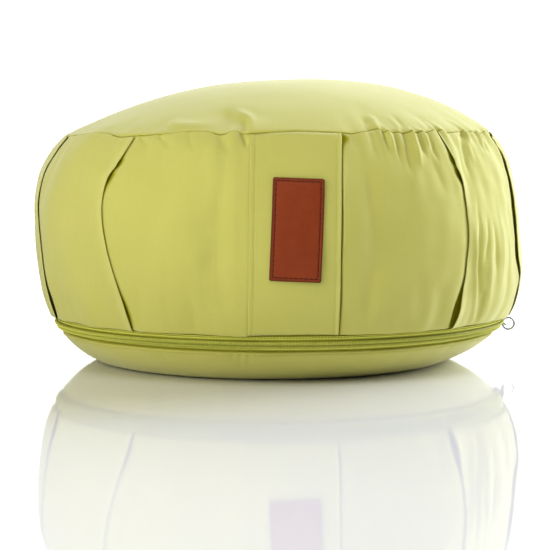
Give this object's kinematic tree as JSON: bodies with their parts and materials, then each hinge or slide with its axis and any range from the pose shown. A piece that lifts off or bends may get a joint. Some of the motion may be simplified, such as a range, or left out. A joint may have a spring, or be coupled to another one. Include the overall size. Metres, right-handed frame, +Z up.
{
  "type": "zafu meditation cushion",
  "caption": "Round filled sitting cushion with a crowned top, pleated side band, front strip with a leather label, and a zip round the base with a ring pull.",
  "frame": {"origin": "in the plane of the cushion's flat foot, on the axis of its round seams", "axes": "+Z up through the crown, -Y towards the front strip and its label, +X towards the closed end of the zip"},
  "size_m": [0.3404, 0.3397, 0.1949],
  "materials": {
    "cotton": "plain-weave cotton, lime green, matt",
    "zip_tape": "woven polyester tape, deeper green, matt",
    "zip_coil": "nylon coil, green, satin",
    "leather": "smooth tan leather with a stitched edge, satin",
    "zip_metal": "nickel-plated zinc, satin"
  },
  "bodies": {
    "root": {"cushion": "cotton", "front_strip": "cotton", "leather_label": "leather", "zip_tape_upper": "zip_tape", "zip_tape_lower": "zip_tape", "zip_coil": "zip_coil", "zip_slider": "zip_metal", "zip_ring": "zip_metal"}
  },
  "joints": []
}
